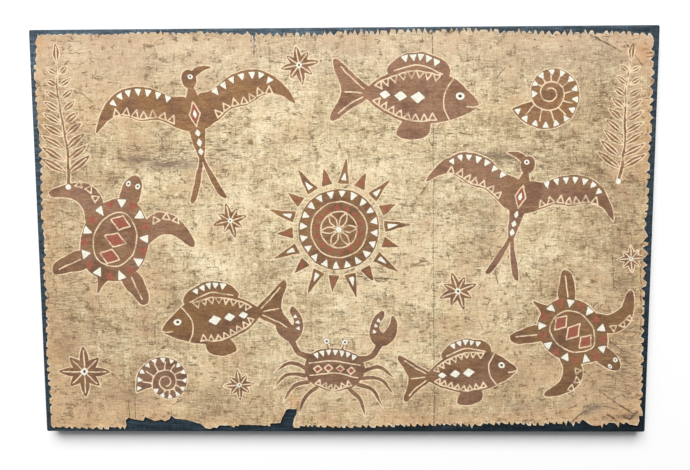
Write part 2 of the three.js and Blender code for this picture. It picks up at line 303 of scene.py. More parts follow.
# Stained places: x, y, reach across, reach up. Dark ones are grey purple and rusty ones orange.
DARK_STAINS = [
    (371, -263, 9, 6),
    (380, -260, 11, 5),
    (365, -268, 8, 5),
    (430, -272, 12, 4),
    (224, 114, 34, 5),
    (196, 116, 16, 4),
    (-252, 104, 44, 6),
    (-300, 112, 26, 5),
]
RUSTY_STAINS = [
    (-75, -250, 8, 8),
    (-70, -262, 6, 7),
    (418, -268, 14, 9),
    (446, -60, 8, 24),
    (430, 262, 12, 14),
    (-440, 278, 12, 14),
]

# Layers of unevenness in the bark's tone: cell, detail, roughness, stretch across and up, weight
BARK_LAYERS = [
    (70, 2, 0.5, 0.8, 1, 0.9),
    (30, 3, 0.6, 0.8, 1, 0.75),
    (15, 3, 0.7, 0.3, 1, 0.75),
    (13, 3, 0.6, 1, 0.12, 0.5),
    (5, 3, 0.7, 0.8, 1, 0.6),
    (2.1, 2, 0.7, 0.17, 1, 1.1),
    (2.1, 2, 0.7, 1, 0.17, 0.8),
]
GRAIN_WEIGHT = 2.8

# Camera in metres and degrees: a phone's main lens above the middle, tipped towards the top edge
CAMERA_PLACE = (0.0119, 0.054, 0.788)
CAMERA_TURN = (-4.03, 0.65, -0.23)
CAMERA_LENS = 27.13

# Light and floor, in metres and watts
LIGHT_PLACE = (-1.2, 5.9, 5.5)
LIGHT_SIZE = (7.2, 4.6)
LIGHT_POWER = 1080.0
FLOOR_HALF = 9.0

SHADER = "Principled BSDF"


def number_series(seed):
    """A fixed series of numbers from 0 to 1, the same one that the solid's outline takes."""
    state = seed
    while True:
        state = (state * 16807) % 2147483647
        yield state / 2147483647


def mix(a, b, share):
    return a + (b - a) * share


def smooth(share):
    t = np.clip(share, 0, 1)
    return t * t * (3 - 2 * t)


def along(values, share):
    place = min(max(share, 0), 1) * (len(values) - 1)
    low = min(math.floor(place), len(values) - 2)
    return mix(values[low], values[low + 1], float(smooth(place - low)))


# Outline of the bark cloth


def side_frame(name):
    frames = {
        "bottom": (-WIDTH / 2, -HEIGHT / 2, 1, 0, WIDTH),
        "right": (WIDTH / 2, -HEIGHT / 2, 0, 1, HEIGHT),
        "top": (WIDTH / 2, HEIGHT / 2, -1, 0, WIDTH),
        "left": (-WIDTH / 2, HEIGHT / 2, 0, -1, HEIGHT),
    }
    return frames[name]


def side_point(frame, distance, inset):
    x, y, dx, dy, _ = frame
    return (x + dx * distance - dy * inset, y + dy * distance + dx * inset)


def tooth_points(frame, side, start, pitch, random):
    """One tooth: its foot, and then a blunt tip, a shallow bay, a spike or a sharp tip."""
    usual = along(side["depths"], start / frame[4])
    depth = usual * mix(1 - DEPTH_SPREAD, 1 + DEPTH_SPREAD, next(random))
    tip = start + pitch * (side["skew"] + mix(-SKEW_SPREAD, SKEW_SPREAD, next(random)))
    kind = next(random)

    def inset(distance):
        sway = MARGIN_SWAY * math.sin(distance / 21 + 1.7 * math.sin(distance / 57))
        return along(side["margins"], distance / frame[4]) + sway

    half = pitch * mix(NARROW_TIP, BROAD_TIP, next(random))
    left = max(tip - half, start + pitch * TOOTH_GAP)
    right = min(tip + half, start + pitch * (1 - TOOTH_GAP))
    shape = [(tip, -depth / 2)]
    if kind < side["blunt"]:
        shape = [(left, -0.38 * depth), (right, -0.46 * depth)]
    elif kind < side["blunt"] + side["bay"]:
        shape = [(left, 0.2 * depth), (right, 0.05 * depth)]
    elif kind > 1 - side["spike"]:
        shoulders = tip - 0.2 * pitch, tip + 0.12 * pitch
        shape = [(shoulders[0], -0.3 * depth), (tip, -depth / 2 - SPIKE_REACH), (shoulders[1], -0.3 * depth)]
    foot = side_point(frame, start, inset(start) + depth / 2)
    return [foot] + [side_point(frame, place, inset(tip) + out) for place, out in shape]


def side_points(index, random):
    side = SIDES[index]
    frame = side_frame(side["name"])
    end = frame[4] - SIDES[(index + 1) % len(SIDES)]["margins"][0]
    distance = SIDES[index - 1]["margins"][-1]
    points = []
    while distance < end - side["pitch"] * 0.5:
        pitch = side["pitch"] * mix(1 - PITCH_SPREAD, 1 + PITCH_SPREAD, next(random))
        fitted = end - distance if distance + pitch > end - side["pitch"] * 0.5 else pitch
        points += tooth_points(frame, side, distance, fitted, random)
        distance += fitted
    return points


def with_cut(points, axis, cut):
    low = min(p[axis] for p in cut)
    high = max(p[axis] for p in cut)
    place = next((i for i, p in enumerate(points) if low < p[axis] < high), None)
    if place is None:
        place = next(i for i, p in enumerate(points) if p[axis] < low)
    kept = [p for p in points if not low < p[axis] < high]
    return kept[:place] + list(cut) + kept[place:]


def bark_outline():
    random = number_series(SEED)
    outline = []
    for index, side in enumerate(SIDES):
        points = side_points(index, random)
        for name, axis, cut in CUTS:
            if name == side["name"]:
                points = with_cut(points, axis, cut)
        outline += points
    return np.array(outline, float)


def ragged(outline):
    """The cut edge in short steps, each a little off the straight line between the outline's corners."""
    random = number_series(SEED + 1)
    points = []
    for start, end in zip(outline, np.roll(outline, -1, 0)):
        length = math.dist(start, end)
        steps = max(1, round(length / RAG_STEP))
        normal = np.array([start[1] - end[1], end[0] - start[0]]) / length
        for step in range(steps):
            off = 0 if step == 0 else mix(-RAG, RAG, next(random))
            points.append(start + (end - start) * step / steps + normal * off)
    return np.array(points)


# Relief of the bark cloth


def between(table, i, j, s, t):
    """Values between four neighbours of a table, at shares of the way to the next column and row."""
    return mix(mix(table[j, i], table[j, i + 1], s), mix(table[j + 1, i], table[j + 1, i + 1], s), t)


def value_noise(x, y, cell, seed):
    """Soft random hills from -1 to 1, one for each cell of the given size."""
    table = np.random.default_rng(seed).uniform(-1, 1, (NOISE_CELLS, NOISE_CELLS))
    u, v = x / cell + NOISE_START, y / cell + NOISE_START
    i, j = u.astype(int), v.astype(int)
    repeated = np.pad(table, (0, 1), "wrap")
    return between(repeated, i % NOISE_CELLS, j % NOISE_CELLS, smooth(u - i), smooth(v - j))


def crease_height(row, x, y):
    x0, y0, x1, y1, width, height = row
    length = math.hypot(x1 - x0, y1 - y0)
    share = ((x - x0) * (x1 - x0) + (y - y0) * (y1 - y0)) / length**2
    away = ((x - x0) * (y1 - y0) - (y - y0) * (x1 - x0)) / length
    ends = smooth(share / 0.15) * smooth((1 - share) / 0.15)
    return height * ends * np.exp(-((away / width) ** 2))


def inward(x, y):
    """Distance from the board's nearest side."""
    return np.minimum(WIDTH / 2 - np.abs(x), HEIGHT / 2 - np.abs(y))


def edge_height(x, y):
    curl = np.maximum(1 - np.maximum(inward(x, y) - EDGE_MARGIN, 0) / EDGE_BAND, 0) ** 2
    uneven = 0.55 + 0.45 * np.sin(x / 17 + 1.3 * np.sin(y / 23)) * np.cos(y / 19 - x / 61)
    return EDGE_LIFT * curl * uneven


def bark_height(x, y):
    """Height of the cloth's underside above its seat, as on the solid."""
    height = WAVE_HEIGHT * (2 + np.sin(x / 57 + y / 140) + np.sin(y / 43 - x / 190 + 1))
    height += edge_height(x, y)
    for row in CREASES:
        height += crease_height(row, x, y)
    for fx, fy, radius, lift in FLAPS:
        height += lift * np.exp(-(np.hypot(x - fx, y - fy) / radius) ** 2)
    return height


def fine_relief(x, y):
    """Cockling, wrinkles and beaten unevenness of the upper face, too fine for the solid."""
    height = 0.14 * value_noise(x, y, 31, 11) + 0.09 * value_noise(x * 0.6, y, 9, 12)
    height += 0.05 * value_noise(x, y, 4.3, 13)
    bend = 2.2 * np.sin((x + y) / 9)
    for row in WRINKLES:
        height += crease_height(row[:6], x + bend, y - bend * 0.6)
    return height


# Shapes for the painted motifs, as closed loops or open lines of points


def loop(points, steps=6):
    """A closed smooth line through the points."""
    p = np.array(points, float)
    before, after, beyond = np.roll(p, 1, 0), np.roll(p, -1, 0), np.roll(p, -2, 0)
    t = (np.arange(steps) / steps)[None, :, None]
    a, b, c, d = (q[:, None, :] for q in (before, p, after, beyond))
    curve = 0.5 * (2 * b + (c - a) * t + (2 * a - 5 * b + 4 * c - d) * t**2 + (3 * b - a - 3 * c + d) * t**3)
    return curve.reshape(-1, 2)


def line(points, steps=6):
    """An open smooth line through the points."""
    p = np.array(points, float)
    ends = np.vstack([2 * p[0] - p[1], p, 2 * p[-1] - p[-2]])
    return np.vstack([loop(ends, steps)[steps : steps * len(p)], p[-1:]])


def oval(x, y, rx, ry, steps=28):
    t = np.linspace(0, 2 * math.pi, steps, endpoint=False)
    return np.c_[x + rx * np.cos(t), y + ry * np.sin(t)]


def diamond(x, y, rx, ry):
    return np.array([(x + rx, y), (x, y + ry), (x - rx, y), (x, y - ry)], float)


def even_stops(points, count, margin=0.5):
    """Places at even steps along a line of points, with the directions ahead and to the left."""
    steps = np.diff(points, axis=0)
    lengths = np.hypot(*steps.T)
    total = np.append(0, np.cumsum(lengths))
    stops = total[-1] * (np.arange(count) + margin) / (count - 1 + 2 * margin)
    places = np.transpose([np.interp(stops, total, column) for column in points.T])
    which = np.clip(np.searchsorted(total, stops) - 1, 0, len(steps) - 1)
    ways = steps[which] / lengths[which, None]
    return places, ways, np.c_[-ways[:, 1], ways[:, 0]]


def teeth(points, count, width, height):
    """Triangles with their bases along a line. A positive height points to the left of its direction."""
    places, ways, left = even_stops(points, count)
    return [
        np.array([place - way * width / 2, place + way * width / 2, place + side * height])
        for place, way, side in zip(places, ways, left)
    ]


def ribbon(points, widths):
    """A closed shape round a line, as wide as the widths say from its start to its end."""
    places, ways, left = even_stops(points, 14, 0.01)
    half = np.interp(np.linspace(0, 1, 14), np.linspace(0, 1, len(widths)), widths)[:, None] / 2
    tip = places[-1:] + ways[-1:] * half[-1]
    return np.vstack([places + left * half, tip, (places - left * half)[::-1]])


def spin(turn):
    """What points are multiplied by to turn them by some degrees."""
    c, s = math.cos(math.radians(turn)), math.sin(math.radians(turn))
    return np.array([(c, s), (-s, c)])


def leaf(x, y, turn, length, width):
    """A pointed leaf from its foot, and the line of its rib."""
    half = [(0.2, 0.62), (0.5, 1), (0.8, 0.6)]
    side = np.array([(0, 0), *half, (1, 0), *((u, -v) for u, v in half[::-1])])
    rib = np.array([(0.12 * length, 0), (0.45 * length, 0), (0.8 * length, 0)])
    return loop(side, 4) * (length, width / 2) @ spin(turn) + (x, y), rib @ spin(turn) + (x, y)


class Motif:
    """Painted shapes by layer: brown, stroke, white, red and dark. Some come with their mirror image."""

    def __init__(self, mirror=(-1, 1)):
        self.mirror = mirror
        self.shapes = []

    def add(self, layer, *shapes, closed=True):
        self.shapes += [(layer, np.array(shape, float), closed) for shape in shapes]

    def both(self, layer, *shapes, closed=True):
        for shape in shapes:
            self.add(layer, shape, np.array(shape, float) * self.mirror, closed=closed)

    def lines(self, *rows):
        self.add("stroke", *(line(row) for row in rows), closed=False)

    def leaf(self, *sizes):
        blade, rib = leaf(*sizes)
        self.add("brown", blade)
        self.add("stroke", rib, closed=False)

    def eye(self, x, y, rx, ry):
        self.add("white", oval(x, y, rx, ry))
        self.add("dark", oval(x, y, rx * 0.42, ry * 0.42))


def turtle():
    m = Motif(mirror=(1, -1))
    half = [(-50, 0), (-41, 26), (-12, 40), (24, 35), (45, 17), (52, 0)]
    shell = loop(half + [(x, -y) for x, y in half[-2:0:-1]])
    m.add("brown", shell)
    m.add("brown", loop([(44, -9), (60, -12), (75, -8), (81, 0), (75, 8), (60, 12), (44, 9)]))
    m.add("brown", loop([(-46, -7), (-56, -4), (-70, 0), (-56, 4), (-46, 7)]))
    m.both("brown", loop([(34, 26), (50, 42), (48, 66), (30, 90), (22, 86), (28, 64), (22, 48), (6, 36)]))
    m.both("brown", loop([(-26, 32), (-34, 46), (-52, 60), (-64, 56), (-57, 41), (-44, 22)]))
    m.add("stroke", shell * (0.64, 0.62))
    rim = teeth(np.vstack([shell, shell[:1]]) * 0.955, 18, 11, -11)
    m.add("white", *rim[::2])
    m.add("red", *rim[1::2])
    for layer in ("red", "stroke"):
        m.add(layer, diamond(-21, 0, 9, 12), diamond(0, 0, 9, 14), diamond(21, 0, 9, 12))
    m.both("stroke", *teeth(line([(44, 66), (43, 48), (32, 35)]), 3, 9, 8))
    m.both("stroke", line([(-56, 52), (-46, 42), (-36, 32)]), closed=False)
    m.eye(68, 5.5, 3.6, 2.8)
    m.eye(68, -5.5, 3.6, 2.8)
    return m


def fish():
    m = Motif()
    back = [(-60, 3), (-38, 22), (0, 36), (40, 30), (68, 12), (80, -2)]
    belly = [(68, -14), (36, -28), (0, -32), (-38, -20), (-60, -3)]
    tail = [(-54, 7), (-72, 21), (-95, 38), (-100, 30), (-87, 1)]
    tail += [(-98, -29), (-92, -36), (-72, -20), (-54, -7)]
    back_fin = [(-30, 24), (-24, 44), (4, 54), (36, 45), (38, 26)]
    belly_fin = [(-6, -27), (-16, -46), (2, -51), (22, -44), (22, -27)]
    m.add("brown", *(loop(row) for row in (back + belly, tail, back_fin, belly_fin)))
    m.lines([(47, 25), (38, 9), (38, -9), (46, -23)], [(-25, 29), (4, 38), (34, 30)])
    m.add("white", *teeth(line([(-20, 46), (4, 51.5), (30, 45)]), 5, 9, -9))
    m.add("stroke", *teeth(line([(-48, 9), (-34, 19), (0, 31), (32, 28)]), 8, 9, -8.5))
    m.add("stroke", *teeth(line([(-48, -8), (-34, -17), (0, -28), (32, -25)]), 8, 9, 8.5))
    m.add("white", diamond(-34, 0, 7, 5), diamond(-15, 0, 8, 6), diamond(6, 0, 9, 7))
    m.lines([(-60, 5), (-76, 17), (-90, 29)], [(-60, -5), (-76, -16), (-88, -27)])
    m.lines([(-62, 0), (-72, 0), (-82, 0)])
    m.eye(57, 6, 5.2, 4.4)
    m.lines([(79, -4), (73, -6), (66, -6)])
    return m


def bird():
    m = Motif()
    half = [(9, 26), (12, 2), (8, -26), (3, -48)]
    m.add("brown", loop([(0, 44)] + half + [(-x, y) for x, y in half[::-1]]))
    upper_wing = [(5, 27), (26, 34), (52, 48), (84, 50), (110, 31), (124, 2)]
    lower_wing = [(104, 16), (86, 17), (66, 9), (45, 7), (25, -5), (6, -10)]
    m.both("brown", loop(upper_wing + lower_wing))
    m.both("brown", loop([(0, -36), (8, -58), (23, -96), (13, -93), (1, -58)]))
    m.add("brown", oval(0, 50, 9.5, 12))
    m.add("brown", loop([(3, 58), (15, 64), (31, 60), (17, 56), (6, 50)]))
    m.both("stroke", *teeth(line([(100, 19), (84, 19), (66, 12), (45, 10), (26, -1)]), 7, 9, -9))
    m.both("white", *teeth(line([(22, 31), (52, 45), (83, 47), (103, 33)]), 7, 8.5, -9))
    for layer in ("red", "stroke"):
        m.add(layer, diamond(0, 8, 7, 15))
    m.add("white", diamond(0, 8, 2.8, 6), *(diamond(0, y, 3.4, 5) for y in (-15, -27, -38)))
    m.eye(2.5, 53, 3.2, 3)
    return m


def crab():
    m = Motif()
    shell = [(-48, 4), (-38, 27), (-15, 36), (15, 36), (38, 27), (48, 4), (35, -21), (0, -32), (-35, -21)]
    m.add("brown", loop(shell))
    m.both("brown", ribbon(line([(32, 20), (56, 27), (69, 46)]), [13, 10, 11]))
    outer_claw = [(60, 46), (51, 66), (56, 88), (70, 101), (74, 92), (67, 76)]
    inner_claw = [(73, 66), (81, 77), (85, 95), (95, 82), (93, 60), (78, 45)]
    m.both("brown", loop(outer_claw + inner_claw))
    legs = [
        [(40, 0), (69, 11), (95, -6)],
        [(43, -9), (73, -8), (94, -31)],
        [(37, -18), (63, -27), (79, -54)],
        [(24, -25), (43, -43), (52, -71)],
    ]
    m.both("brown", *(ribbon(line(leg), [8, 7, 6, 2]) for leg in legs))
    m.both("brown", ribbon(line([(11, 33), (12.5, 40), (14, 46)]), [5, 4, 4]))
    m.eye(-14, 48, 4.4, 4.4)
    m.eye(14, 48, 4.4, 4.4)
    m.add("white", *teeth(line([(-36, 26), (-15, 33.5), (15, 33.5), (36, 26)]), 7, 9, -10))
    m.lines([(-40, 12), (0, 17), (40, 12)], [(-38, -8), (0, -2), (38, -8)])
    for layer in ("red", "stroke"):
        m.add(layer, *(diamond(x, y, 6.5, 5.5) for x, y in ((-26, 3.5), (-9, 5.5), (9, 5.5), (26, 3.5))))
    m.add("stroke", *teeth(line([(-30, -20), (0, -29), (30, -20)]), 6, 9, 9))
    m.both("white", *teeth(line([(56, 62), (59, 78), (66, 90)]), 3, 7, -7))
    return m


def sun():
    m = Motif()
    m.add("brown", oval(0, 0, 54, 54, 48))
    for k in range(18):
        tip, spark, layer = (86, 74, "red") if k % 2 else (100, 78, "white")
        m.add("brown", np.array([(60, -8.4), (tip, 0), (60, 8.4)]) @ spin(20 * k))
        m.add(layer, np.array([(65, -3.6), (spark, 0), (65, 3.6)]) @ spin(20 * k))
    rim = oval(0, 0, 51.5, 51.5, 60)
    m.add("white", *teeth(np.vstack([rim, rim[:1]]), 20, 10, 10))
    m.add("stroke", oval(0, 0, 37, 37, 40), oval(0, 0, 24, 24, 32))
    ring = oval(0, 0, 26.5, 26.5, 60)
    m.add("red", *teeth(np.vstack([ring, ring[:1]]), 14, 9.5, -8.5))
    for turn in range(0, 360, 60):
        m.add("stroke", leaf(*((3.4, 0) @ spin(turn)), turn, 20, 8.5)[0])
    m.add("white", oval(0, 0, 3.6, 3.6))
    return m


def fern():
    m = Motif()
    m.add("brown", ribbon(line([(0, -108), (4, -50), (0, 0), (-3, 50), (0, 98)]), [7, 5.5, 4.5, 3.5, 2.5]))
    for k in range(9):
        for x, turn in ((1.5, 34), (-1.5, 146)):
            m.leaf(x, -82 + 19.5 * k, turn, 47 - 3.5 * k, 12.5 - 0.45 * k)
    m.leaf(0, 92, 90, 30, 11)
    m.add("white", oval(0, -104, 4.5, 4.5))
    return m


def spiral(turn, out=1.0, ahead=0.0):
    """A place on the shell's spiral, with a share of its radius and an angle ahead of it."""
    radius = 52 * np.exp(-0.12 * turn) * out
    return np.stack([radius * np.cos(turn + ahead), radius * np.sin(turn + ahead)], -1)


def spiral_shell():
    m = Motif()
    outer = spiral(np.linspace(0, 2 * math.pi, 46))
    m.add("brown", outer)
    m.add("stroke", spiral(np.linspace(2 * math.pi, 5.6 * math.pi, 70)), closed=False)
    m.add("white", *teeth(outer * 0.95, 15, 9, 8.5))
    for turn in 0.25 + 0.5 * np.arange(11):
        m.add("stroke", [spiral(turn + 2 * math.pi), spiral(turn, 0.78, 0.12)], closed=False)
    return m


def star():
    m = Motif()
    for k in range(8):
        m.leaf(0, 0, 45 * k, 27 if k % 2 else 34, 13)
    m.add("white", diamond(0, 0, 6, 6))
    m.add("dark", diamond(0, 0, 2.4, 2.4))
    return m


# Where each motif is painted: what, x, y, turn in degrees, size, flip, and tone from orange to purple brown
LAYOUT = [
    (sun, -6, 8, 4, 1.12, 1, 0.3),
    (bird, -214, 168, 8, 1.2, 1, 0.35),
    (bird, 258, 46, -12, 1.14, -1, -0.2),
    (turtle, -338, -6, 70, 1.26, 1, -0.1),
    (turtle, 342, -146, -38, 1.12, 1, 0.3),
    (fish, 102, 200, -5, 1.2, 1, -0.4),
    (fish, -186, -126, 10, 1.1, -1, 0.45),
    (fish, 182, -208, 6, 0.98, 1, 0.0),
    (crab, -14, -206, -3, 0.96, 1, -0.2),
    (fern, -410, 168, 3, 0.92, 1, 0.1),
    (fern, 408, 168, -4, 0.88, 1, 0.2),
    (spiral_shell, 300, 204, 200, 1.14, 1, 0.35),
    (spiral_shell, -268, -222, 20, 0.94, -1, -0.35),
    (star, -62, 246, 10, 0.86, 1, -0.2),
    (star, -392, -206, 0, 1.18, 1, 0.25),
    (star, 170, -84, 20, 0.9, 1, 0.1),
    (star, -166, 22, 15, 0.8, 1, 0.3),
    (star, -158, -226, 5, 0.74, 1, 0.0),
    (star, 424, -36, 5, 0.62, 1, 0.1),
]


class Picture:
    """Layers of distances in millimetres on an even lattice. Below zero is inside the painted shape."""

    LAYERS = ("brown", "stroke", "white", "red", "dark", "crack")

    def __init__(self):
        self.x = np.arange(-WIDTH / 2, WIDTH / 2 + 0.01, FINE_STEP)
        self.y = np.arange(-HEIGHT / 2, HEIGHT / 2 + 0.01, FINE_STEP)
        self.gx, self.gy = np.meshgrid(self.x, self.y)
        self.layers = {name: np.full(self.gx.shape, FAR) for name in self.LAYERS}
        self.tone = np.zeros(self.gx.shape)
        self.centres = []

    def lay(self, layer, points, closed=True, width=None, tone=None):
        """Adds a filled shape, or a line of some width whose middle is kept as points for the mesh."""
        low, high = points.min(0) - FAR, points.max(0) + FAR
        where = tuple(slice(*np.searchsorted(c, [low[k], high[k]])) for k, c in ((1, self.y), (0, self.x)))
        gx, gy = self.gx[where], self.gy[where]
        away = segment_distance(np.c_[gx.ravel(), gy.ravel()], points, closed).reshape(gx.shape)
        if width:
            away = np.abs(away) - width / 2
            self.centres += [(x, y, self.LAYERS.index(layer), -width / 2) for x, y in points]
        if tone is not None:
            self.tone[where] = np.where(away < TONE_REACH, tone, self.tone[where])
        self.layers[layer][where] = np.minimum(self.layers[layer][where], away)

    def value(self, values, x, y):
        """A layer's value at any place, from the four lattice points round it."""
        u = np.clip((x - self.x[0]) / FINE_STEP, 0, len(self.x) - 1.001)
        v = np.clip((y - self.y[0]) / FINE_STEP, 0, len(self.y) - 1.001)
        i, j = u.astype(int), v.astype(int)
        return between(values, i, j, u - i, v - j)


def segment_distance(p, points, closed):
    """Distance from each place to a line of points, negative inside it if it is closed."""
    ends = np.roll(points, -1, 0) if closed else points[1:]
    starts = points if closed else points[:-1]
    way = ends - starts
    size = np.maximum((way**2).sum(1), 1e-9)
    best = np.full(len(p), 1e9)
    inside = np.zeros(len(p), bool)
    for a, b, w, s in zip(starts, ends, way, size):
        t = np.clip(((p - a) @ w) / s, 0, 1)
        best = np.minimum(best, np.hypot(p[:, 0] - a[0] - t * w[0], p[:, 1] - a[1] - t * w[1]))
        if closed and a[1] != b[1]:
            crosses = (p[:, 1] < a[1]) != (p[:, 1] < b[1])
            inside ^= crosses & (p[:, 0] < a[0] + (p[:, 1] - a[1]) * w[0] / (b[1] - a[1]))
    return np.where(inside, -best, best)


def stepped(points, step, closed):
    """The same line with its long stretches cut into short steps."""
    ends = np.roll(points, -1, 0) if closed else points[1:]
    out = []
    for a, b in zip(points, ends):
        count = max(1, math.ceil(math.dist(a, b) / step))
        out += [a + (b - a) * k / count for k in range(count)]
    return np.array(out if closed else out + [points[-1]])


def by_hand(points, reach):
    """Small smooth errors of the painter's hand."""
    x, y = points.T
    dx = value_noise(x, y, 13, 21) + 0.4 * value_noise(x, y, 5, 22)
    dy = value_noise(x, y, 13, 23) + 0.4 * value_noise(x, y, 5, 24)
    return points + reach * np.c_[dx, dy]


def paint_motifs(picture):
    for make, x, y, turn, size, flip, tone in LAYOUT:
        for layer, shape, closed in make().shapes:
            placed = stepped(shape * size * (flip, 1), HAND_STEP, closed) @ spin(turn) + (x, y)
            placed = by_hand(placed, HAND_WOBBLE)
            if layer == "stroke":
                picture.lay(layer, stepped(placed, FINE_STEP, closed), closed, STROKE_WIDTH)
            else:
                picture.lay(layer, placed, tone=tone if layer == "brown" else None)


def scratches():
    random = number_series(SEED + 2)
    rows = []
    for _ in range(SCRATCHES):
        x, y = (reach * mix(-1, 1, next(random)) for reach in SCRATCH_PLACES)
        turn = mix(-SCRATCH_SLANT, SCRATCH_SLANT, next(random))
        length = mix(*SCRATCH_LENGTHS, next(random) ** 2)
        rows.append((x, y, x + length * math.cos(turn), y + length * math.sin(turn), SCRATCH_WIDTH))
    return rows


def paint_cracks(picture):
    along_wrinkles = [row[:4] + row[6:] for row in WRINKLES if row[6:]]
    for x0, y0, x1, y1, width in CRACKS + along_wrinkles + scratches():
        points = stepped(np.array([(x0, y0), (x1, y1)], float), CRACK_STEP, False)
        picture.lay("crack", by_hand(points, CRACK_WANDER), False, width)


# Meshes


def triangulated(loop_points, inner_points):
    """Triangles in a closed loop, through inner points: places, faces and where each place came from."""
    count = len(loop_points)
    everything = [Vector(p) for p in np.vstack([loop_points, inner_points])]
    ring = list(range(count))
    edges = [(k, (k + 1) % count) for k in ring]
    places, _, faces, sources, _, _ = delaunay_2d_cdt(everything, edges, [ring], 1, 1e-6)
    source = np.array([s[0] if s else -1 for s in sources])
    return np.array([tuple(p) for p in places]), [tuple(f) for f in faces], source


def made_mesh(name, places, faces, angle=40):
    mesh = bpy.data.meshes.new(name)
    mesh.from_pydata((np.asarray(places) * MM).tolist(), [], faces)
    mesh.validate()
    mesh.shade_smooth()
    mesh.set_sharp_from_angle(angle=math.radians(angle))
    return add_object(name, mesh)


def add_object(name, data):
    piece = bpy.data.objects.new(name, data)
    bpy.context.scene.collection.objects.link(piece)
    return piece


def lattice_points(picture, outline):
    """Lattice points inside the outline: every second one and all near paint, but none on a thin line."""
    gx, gy = picture.gx, picture.gy
    row, column = np.indices(gx.shape)
    near = np.min([np.abs(layer) for layer in picture.layers.values()], axis=0) < PAINT_NEAR
    chosen = near | ((row % 2 == 0) & (column % 2 == 0))
    test = inward(gx, gy) < RIM_BAND
    for left, right, bottom, top in INLETS:
        test |= (gx > left) & (gx < right) & (gy > bottom) & (gy < top)
    test &= chosen
    chosen[test] = segment_distance(np.c_[gx[test], gy[test]], outline, True) < -RIM_SPARE
    for x, y, _, _ in picture.centres:
        i, j = round((x - picture.x[0]) / FINE_STEP), round((y - picture.y[0]) / FINE_STEP)
        if math.hypot(picture.x[i] - x, picture.y[j] - y) < LINE_SPARE:
            chosen[j, i] = False
    return np.c_[gx[chosen], gy[chosen]]


def under_points(outline):
    gx, gy = np.meshgrid(*(UNDER_STEP * np.arange(-most, most + 1) for most in UNDER_COUNTS))
    points = np.c_[gx.ravel(), gy.ravel()]
    return points[segment_distance(points, outline, True) < -UNDER_SPARE]


def rim_places(source, count):
    """For each outline point, its number among the points that the triangles use."""
    found = np.zeros(count, int)
    on_rim = np.flatnonzero((source >= 0) & (source < count))
    found[source[on_rim]] = on_rim
    return found


def bark_cloth():
    """The bark cloth's upper face with its paint, its cut rim and its underside, as one closed sheet."""
    picture = Picture()
    paint_motifs(picture)
    paint_cracks(picture)
    outline = ragged(bark_outline())
    lattice = lattice_points(picture, outline)
    centres = np.array(picture.centres)
    centres = centres[segment_distance(centres[:, :2], outline, True) < -RIM_SPARE]
    top, top_faces, source = triangulated(outline, np.vstack([lattice, centres[:, :2]]))
    low, low_faces, low_source = triangulated(outline, under_points(outline))
    seat = UNDER_BARK + bark_height(*top.T)
    top_z = seat + BARK_THICK + np.maximum(fine_relief(*top.T), THINNEST - BARK_THICK)
    low_z = UNDER_BARK + bark_height(*low.T)

    count, size = len(outline), len(top)
    places = np.vstack([np.c_[top, top_z], np.c_[low, low_z]])
    upper, lower = rim_places(source, count), rim_places(low_source, count) + size
    faces = top_faces + [tuple(size + k for k in face[::-1]) for face in low_faces]
    faces += np.c_[np.roll(upper, -1), upper, lower, np.roll(lower, -1)].tolist()
    piece = made_mesh("bark_sheet", places, faces)

    rim = np.zeros(len(places))
    rim[np.append(upper, lower)] = 1
    add_values(piece, "rim", rim)
    add_values(piece, "tone", picture.value(picture.tone, *top.T))
    for name, rows in (("scuff", SCUFFS), ("stain", DARK_STAINS), ("rust", RUSTY_STAINS)):
        add_values(piece, name, spread(rows, places))
    which = source - count - len(lattice)
    for kind, (name, layer) in enumerate(picture.layers.items()):
        values = picture.value(layer, *top.T)
        mine = (which >= 0) & (centres[np.maximum(which, 0), 2] == kind)
        values[mine] = centres[which[mine], 3]
        add_values(piece, "paint_" + name, values, FAR)
    return piece


def add_values(piece, name, values, rest=0.0):
    """A named value for each point. Points past the end of the values get the rest."""
    every = np.full(len(piece.data.vertices), rest, np.float32)
    every[: len(values)] = values
    piece.data.attributes.new(name, "FLOAT", "POINT").data.foreach_set("value", every)


def spread(rows, places):
    """How strongly soft oval patches cover each place, from 0 to 1."""
    total = np.zeros(len(places))
    for x, y, across, up, *strength in rows:
        away = ((places[:, 0] - x) / across) ** 2 + ((places[:, 1] - y) / up) ** 2
        total = np.maximum(total, (strength or [1.0])[0] * np.exp(-away))
    return total


# Cover cloth


def side_shares(length, step):
    """Shares of the way along a side, closer together beside the corners, the same for every inset."""
    near = [0.0, 1.5, 4.0, 9.0]
    middle = np.linspace(near[-1], length - near[-1], round(length / step))
    return np.concatenate([near[:-1], middle, [length - d for d in near[-2::-1]]])[1:-1] / length


def cover_ring(inset, z):
    """A loop round the covered board at an inset from its sides, and a mark on its corners' points."""
    radius = max(CORNER_ROUND - inset, 0.4)
    half_x, half_y = WIDTH / 2 - inset - radius, HEIGHT / 2 - inset - radius
    corners = [(half_x, -half_y), (half_x, half_y), (-half_x, half_y), (-half_x, -half_y)]
    points = []
    for k, (cx, cy) in enumerate(corners):
        for a in QUARTER:
            turn = a + math.radians(90 * k - 90)
            ox, oy = radius * math.cos(turn), radius * math.sin(turn)
            points.append((cx + ox, cy + oy, z, 1))
        nx, ny = corners[(k + 1) % 4]
        for s in side_shares(HEIGHT if k % 2 == 0 else WIDTH, SIDE_STEP):
            points.append((mix(cx, nx, s) + ox, mix(cy, ny, s) + oy, z, 0))
    p = np.array(points)
    return p[:, :3], p[:, 3]


